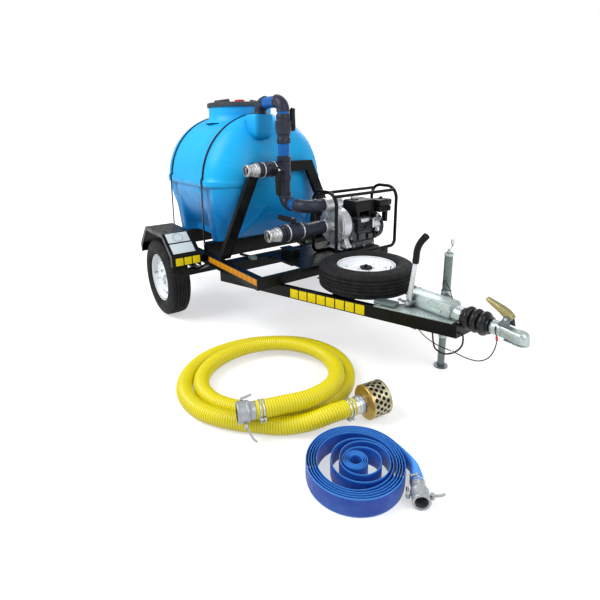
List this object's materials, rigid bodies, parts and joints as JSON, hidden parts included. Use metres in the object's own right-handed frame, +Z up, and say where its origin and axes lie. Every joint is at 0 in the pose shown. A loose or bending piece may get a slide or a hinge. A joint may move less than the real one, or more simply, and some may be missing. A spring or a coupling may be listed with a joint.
{
  "type": "sludge suction trailer",
  "caption": "Single-axle trailer with a strapped moulded tank, an engine-driven pump and valved pipework, a spare wheel, an overrun coupling, a coiled suction hose and a rolled flat hose.",
  "frame": {"origin": "on the ground under the middle of the trailer's bounding box, its loose hoses left out", "axes": "+X along the drawbar towards the towing head, +Y towards the trailer's left side, +Z up"},
  "size_m": [3.2059, 2.089, 1.6463],
  "materials": {
    "black_paint": "semi-gloss black paint",
    "tank_blue": "smooth moulded polyethylene, satin",
    "lid_grey": "moulded polyethylene, matt",
    "rubber": "matt black rubber",
    "tyre": "matt black tread rubber",
    "rim_white": "white-silver enamel",
    "galvanised": "galvanised, dull",
    "zinc_yellow": "yellow passivated zinc",
    "aluminium": "cast, satin",
    "pvc_grey": "dark slate-grey moulded fittings",
    "engine_black": "black enamel and plastic",
    "cast_grey": "grey castings",
    "hose_yellow": "yellow ribbed hose, satin",
    "hose_blue": "blue coated woven hose",
    "brass_zinc": "brass and zinc-plated sheet"
  },
  "bodies": {
    "trailer": {"chassis_frame": "black_paint", "drawbar_beam_right": "black_paint", "drawbar_beam_left": "black_paint", "spare_carrier": "black_paint", "fender_right": "black_paint", "fender_left": "black_paint", "tank_strap_front": "black_paint", "tank_strap_rear": "black_paint", "tank_brace": "black_paint", "pump_frame": "black_paint", "tank_shell": "tank_blue", "coupling_bellows": "rubber", "breakaway_cable": "rubber", "electric_cable": "rubber", "spare_tyre": "tyre", "spare_rim": "rim_white", "coupling_housing": "galvanised", "jockey_tube": "galvanised", "pump_volute": "aluminium", "pump_cover": "aluminium", "carburettor": "aluminium", "suction_camlock": "aluminium", "branch_camlock": "aluminium", "hose_coupler": "aluminium", "layflat_coupler": "aluminium", "suction_valve": "pvc_grey", "discharge_pipe": "pvc_grey", "riser_tee": "pvc_grey", "branch_valve": "pvc_grey", "riser_valve": "pvc_grey", "return_bend": "pvc_grey", "fuel_tank": "engine_black", "air_cleaner": "engine_black", "axle_beam": "cast_grey", "leaf_spring_right": "cast_grey", "leaf_spring_left": "cast_grey", "engine_block": "cast_grey", "suction_hose": "hose_yellow", "layflat_hose": "hose_blue", "strainer": "brass_zinc"},
    "wheel_right": {"tyre_right": "tyre", "rim_right": "rim_white"},
    "wheel_left": {"tyre_left": "tyre", "rim_left": "rim_white"},
    "lid": {"tank_lid": "lid_grey"},
    "riser_lever": {"riser_valve_lever": "pvc_grey"},
    "branch_lever": {"branch_valve_lever": "pvc_grey"},
    "suction_lever": {"suction_valve_lever": "pvc_grey"},
    "handbrake": {"handbrake_lever": "galvanised"},
    "towing_head": {"coupling_head": "galvanised"},
    "latch": {"latch_handle": "zinc_yellow"},
    "jockey": {"jockey_leg": "galvanised"},
    "crank": {"jockey_crank": "galvanised"},
    "impeller": {"impeller_shaft": "cast_grey"},
    "starter": {"starter_grip": "engine_black"},
    "filler_cap": {"fuel_cap": "aluminium"},
    "suction_arm_a": {"hose_coupler_arm_a": "aluminium"},
    "suction_arm_b": {"hose_coupler_arm_b": "aluminium"},
    "layflat_arm_a": {"layflat_coupler_arm_a": "aluminium"},
    "layflat_arm_b": {"layflat_coupler_arm_b": "aluminium"}
  },
  "joints": [
    {"name": "wheel_right_spin", "type": "hinge", "parent": "trailer", "child": "wheel_right", "pos_m": [-0.827, -0.786, 0.297], "axis": [0, 1, 0], "continuous": true},
    {"name": "wheel_left_spin", "type": "hinge", "parent": "trailer", "child": "wheel_left", "pos_m": [-0.827, 0.786, 0.297], "axis": [0, 1, 0], "continuous": true},
    {"name": "lid_turn", "type": "hinge", "parent": "trailer", "child": "lid", "pos_m": [-0.955, 0, 1.6], "axis": [0, 0, 1], "range_deg": [0, 60]},
    {"name": "riser_valve_turn", "type": "hinge", "parent": "trailer", "child": "riser_lever", "pos_m": [-0.137, -0.073, 1.4025], "axis": [0, 1, 0], "range_deg": [0, 90]},
    {"name": "branch_valve_turn", "type": "hinge", "parent": "trailer", "child": "branch_lever", "pos_m": [-0.08, -0.235, 1.13], "axis": [1, 0, 0], "range_deg": [0, 90]},
    {"name": "suction_valve_turn", "type": "hinge", "parent": "trailer", "child": "suction_lever", "pos_m": [0.103, -0.235, 0.787], "axis": [0, 0, 1], "range_deg": [0, 90]},
    {"name": "handbrake_pull", "type": "hinge", "parent": "trailer", "child": "handbrake", "pos_m": [0.958, -0.078, 0.455], "axis": [0, 1, 0], "range_deg": [0, 55]},
    {"name": "overrun_slide", "type": "slide", "parent": "trailer", "child": "towing_head", "axis": [-1, 0, 0], "range_m": [0, 0.06], "deforming": ["coupling_bellows"]},
    {"name": "latch_lift", "type": "hinge", "parent": "towing_head", "child": "latch", "pos_m": [1.473, 0, 0.522], "axis": [0, 1, 0], "range_deg": [0, 28]},
    {"name": "jockey_raise", "type": "slide", "parent": "trailer", "child": "jockey", "axis": [0, 0, 1], "range_m": [0, 0.18]},
    {"name": "jockey_crank_turn", "type": "hinge", "parent": "trailer", "child": "crank", "pos_m": [1.015, 0.183, 0.7073], "axis": [0, 0, 1], "range_deg": [0, 10800]},
    {"name": "impeller_spin", "type": "hinge", "parent": "trailer", "child": "impeller", "pos_m": [0.103, 0.15, 0.73], "axis": [0, 1, 0], "continuous": true},
    {"name": "starter_pull", "type": "slide", "parent": "trailer", "child": "starter", "axis": [0, 1, 0], "range_m": [0, 0.45], "stiffness_N_per_m": 30},
    {"name": "fuel_cap_turn", "type": "hinge", "parent": "trailer", "child": "filler_cap", "pos_m": [0.093, 0.335, 0.9], "axis": [0, 0, 1], "range_deg": [0, 90]},
    {"name": "suction_arm_a_swing", "type": "hinge", "parent": "trailer", "child": "suction_arm_a", "pos_m": [0.8087, -1.0561, 0.1837], "axis": [0.6713, -0.2223, 0.7071], "range_deg": [0, 90]},
    {"name": "suction_arm_b_swing", "type": "hinge", "parent": "trailer", "child": "suction_arm_b", "pos_m": [0.8908, -1.084, 0.097], "axis": [0.6713, -0.2223, 0.7071], "range_deg": [-30, 40]},
    {"name": "layflat_arm_a_swing", "type": "hinge", "parent": "trailer", "child": "layflat_arm_a", "pos_m": [1.5406, -0.7611, 0.0373], "axis": [0, 0, 1], "range_deg": [0, 6]},
    {"name": "layflat_arm_b_swing", "type": "hinge", "parent": "trailer", "child": "layflat_arm_b", "pos_m": [1.6012, -0.6938, 0.0373], "axis": [0, 0, 1], "range_deg": [-60, 60]}
  ],
  "couplings": [
    {"joint": "jockey_crank_turn", "follows": "jockey_raise", "rad_per_m": 1047.2}
  ]
}
